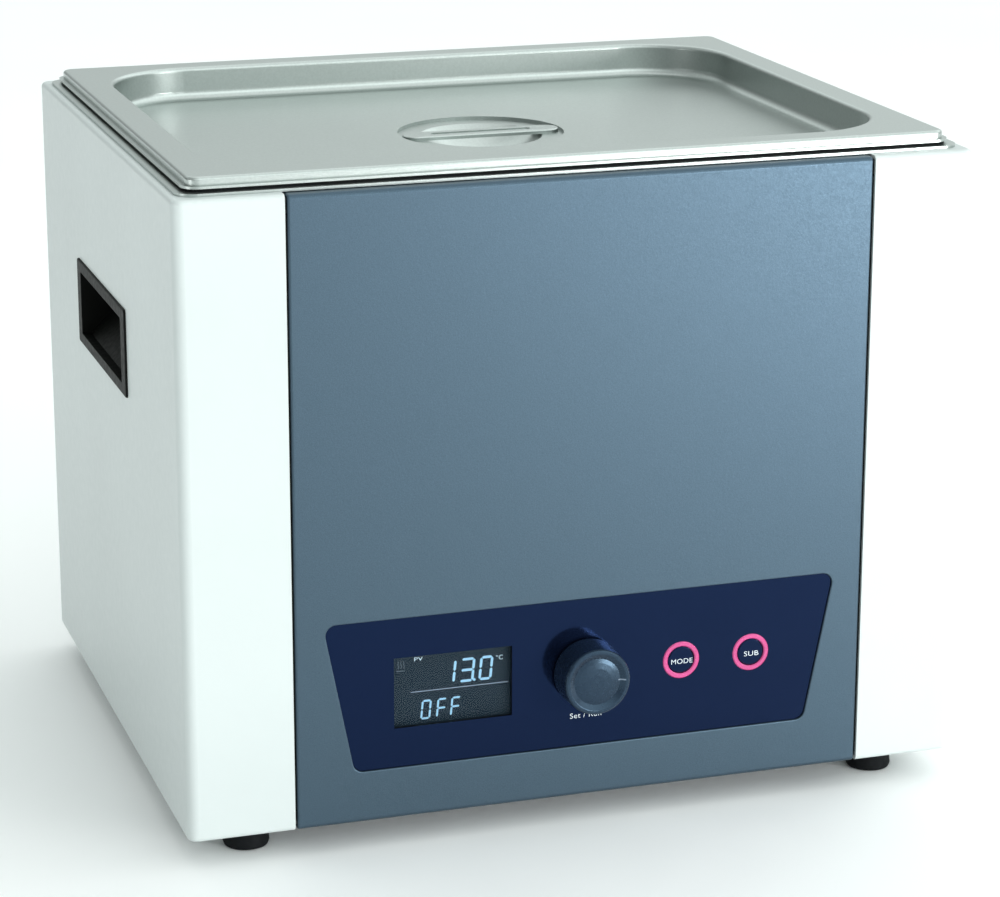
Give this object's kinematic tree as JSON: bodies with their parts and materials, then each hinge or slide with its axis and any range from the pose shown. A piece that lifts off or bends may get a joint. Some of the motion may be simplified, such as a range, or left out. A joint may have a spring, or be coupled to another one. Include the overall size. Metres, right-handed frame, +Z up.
{
  "type": "water bath",
  "caption": "Bench-top laboratory water bath: stainless tank with sunken lift-off lid in a sheet-metal casing with digital controls, a turn-and-push knob and recessed grips.",
  "frame": {"origin": "on the surface that the feet stand on, under the middle of the whole object's box", "axes": "+Z up, -Y out of the front with the controls, +X to the right as the front is looked at"},
  "size_m": [0.344, 0.3034, 0.2868],
  "materials": {
    "white_shell": "satin white powder coat",
    "grey_blue_paint": "satin metallic grey-blue coat",
    "galvanised": "plain zinc-coated sheet",
    "stainless": "fine brushed stainless",
    "screw_steel": "plated screws",
    "black_rubber": "matt rubber",
    "black_plastic": "fine-textured moulding",
    "knob_plastic": "satin dark slate",
    "navy_film": "satin printed film",
    "pink_ring": "pink moulded ring",
    "button_cap": "navy cap",
    "smoked_lens": "smoked clear window",
    "display": "dark liquid-crystal cell",
    "circuit_board": "green circuit board",
    "component": "moulded electronic part",
    "heater_rubber": "silicone heater mat",
    "aluminium": "plain aluminium",
    "insulation": "white fibre blanket",
    "brass": "plain brass",
    "copper_laminate": "varnished laminations",
    "lead_jacket": "insulated lead",
    "fuse_glass": "glass fuse"
  },
  "bodies": {
    "casing": {"right_side_panel": "white_shell", "left_side_panel": "white_shell", "front_panel": "grey_blue_paint", "rear_panel": "white_shell", "base_plate": "galvanised", "joint_straps": "black_plastic", "feet": "black_rubber", "foot_fasteners": "screw_steel", "rear_screws": "screw_steel", "right_handle_cup": "black_plastic", "left_handle_cup": "black_plastic", "tank": "stainless", "rim_seal": "black_rubber", "flange_fasteners": "screw_steel", "tank_clips": "galvanised", "wall_insulation": "insulation", "heater_mat": "heater_rubber", "heater_clamp_plate": "aluminium", "heater_fasteners": "screw_steel", "thermal_cutout": "component", "temperature_probe": "stainless", "probe_clip": "aluminium", "control_overlay": "navy_film", "control_frame": "black_plastic", "frame_fasteners": "screw_steel", "display_lens": "smoked_lens", "display_module": "display", "control_board": "circuit_board", "board_fasteners": "brass", "tact_switches": "component", "encoder_body": "component", "encoder_nut": "brass", "button_rings": "pink_ring", "mains_inlet": "black_plastic", "inlet_pins": "brass", "inlet_screws": "screw_steel", "rocker_housing": "black_plastic", "rocker_tabs": "brass", "power_board": "circuit_board", "power_fasteners": "brass", "transformer": "copper_laminate", "heater_relay": "component", "triac_heatsink": "aluminium", "terminal_strip": "component", "mains_leads": "lead_jacket", "heater_leads": "lead_jacket", "probe_lead": "lead_jacket", "ribbon_cable": "lead_jacket"},
    "lid": {"lid_pan": "stainless", "lid_handle_strap": "stainless"},
    "shelf": {"perforated_shelf": "stainless", "shelf_legs": "stainless"},
    "plunger": {"encoder_plunger": "brass"},
    "knob": {"control_knob": "knob_plastic", "encoder_shaft": "brass"},
    "mode": {"mode_button": "button_cap"},
    "sub": {"sub_button": "button_cap"},
    "rocker": {"power_rocker": "black_plastic"},
    "drawer": {"fuse_drawer": "black_plastic", "fuses": "fuse_glass"}
  },
  "joints": [
    {"name": "lid_lift", "type": "slide", "parent": "casing", "child": "lid", "axis": [0, 0, 1], "range_m": [0, 0.15]},
    {"name": "shelf_lift", "type": "slide", "parent": "casing", "child": "shelf", "axis": [0, 0, 1], "range_m": [0, 0.11]},
    {"name": "knob_press", "type": "slide", "parent": "casing", "child": "plunger", "axis": [0, 1, 0], "range_m": [0, 0.0006], "stiffness_N_per_m": 1500, "springref_m": -0.0003},
    {"name": "knob_turn", "type": "hinge", "parent": "plunger", "child": "knob", "pos_m": [0.001, -0.13725, 0.0677], "axis": [0, 1, 0], "continuous": true},
    {"name": "mode_press", "type": "slide", "parent": "casing", "child": "mode", "axis": [0, 1, 0], "range_m": [0, 0.0005], "stiffness_N_per_m": 800, "springref_m": -0.0003},
    {"name": "sub_press", "type": "slide", "parent": "casing", "child": "sub", "axis": [0, 1, 0], "range_m": [0, 0.0005], "stiffness_N_per_m": 800, "springref_m": -0.0003},
    {"name": "power_switch", "type": "hinge", "parent": "casing", "child": "rocker", "pos_m": [0.052, 0.14675, 0.054], "axis": [1, 0, 0], "range_deg": [-20, 0]},
    {"name": "drawer_pull", "type": "slide", "parent": "casing", "child": "drawer", "axis": [0, 1, 0], "range_m": [0, 0.018]}
  ]
}
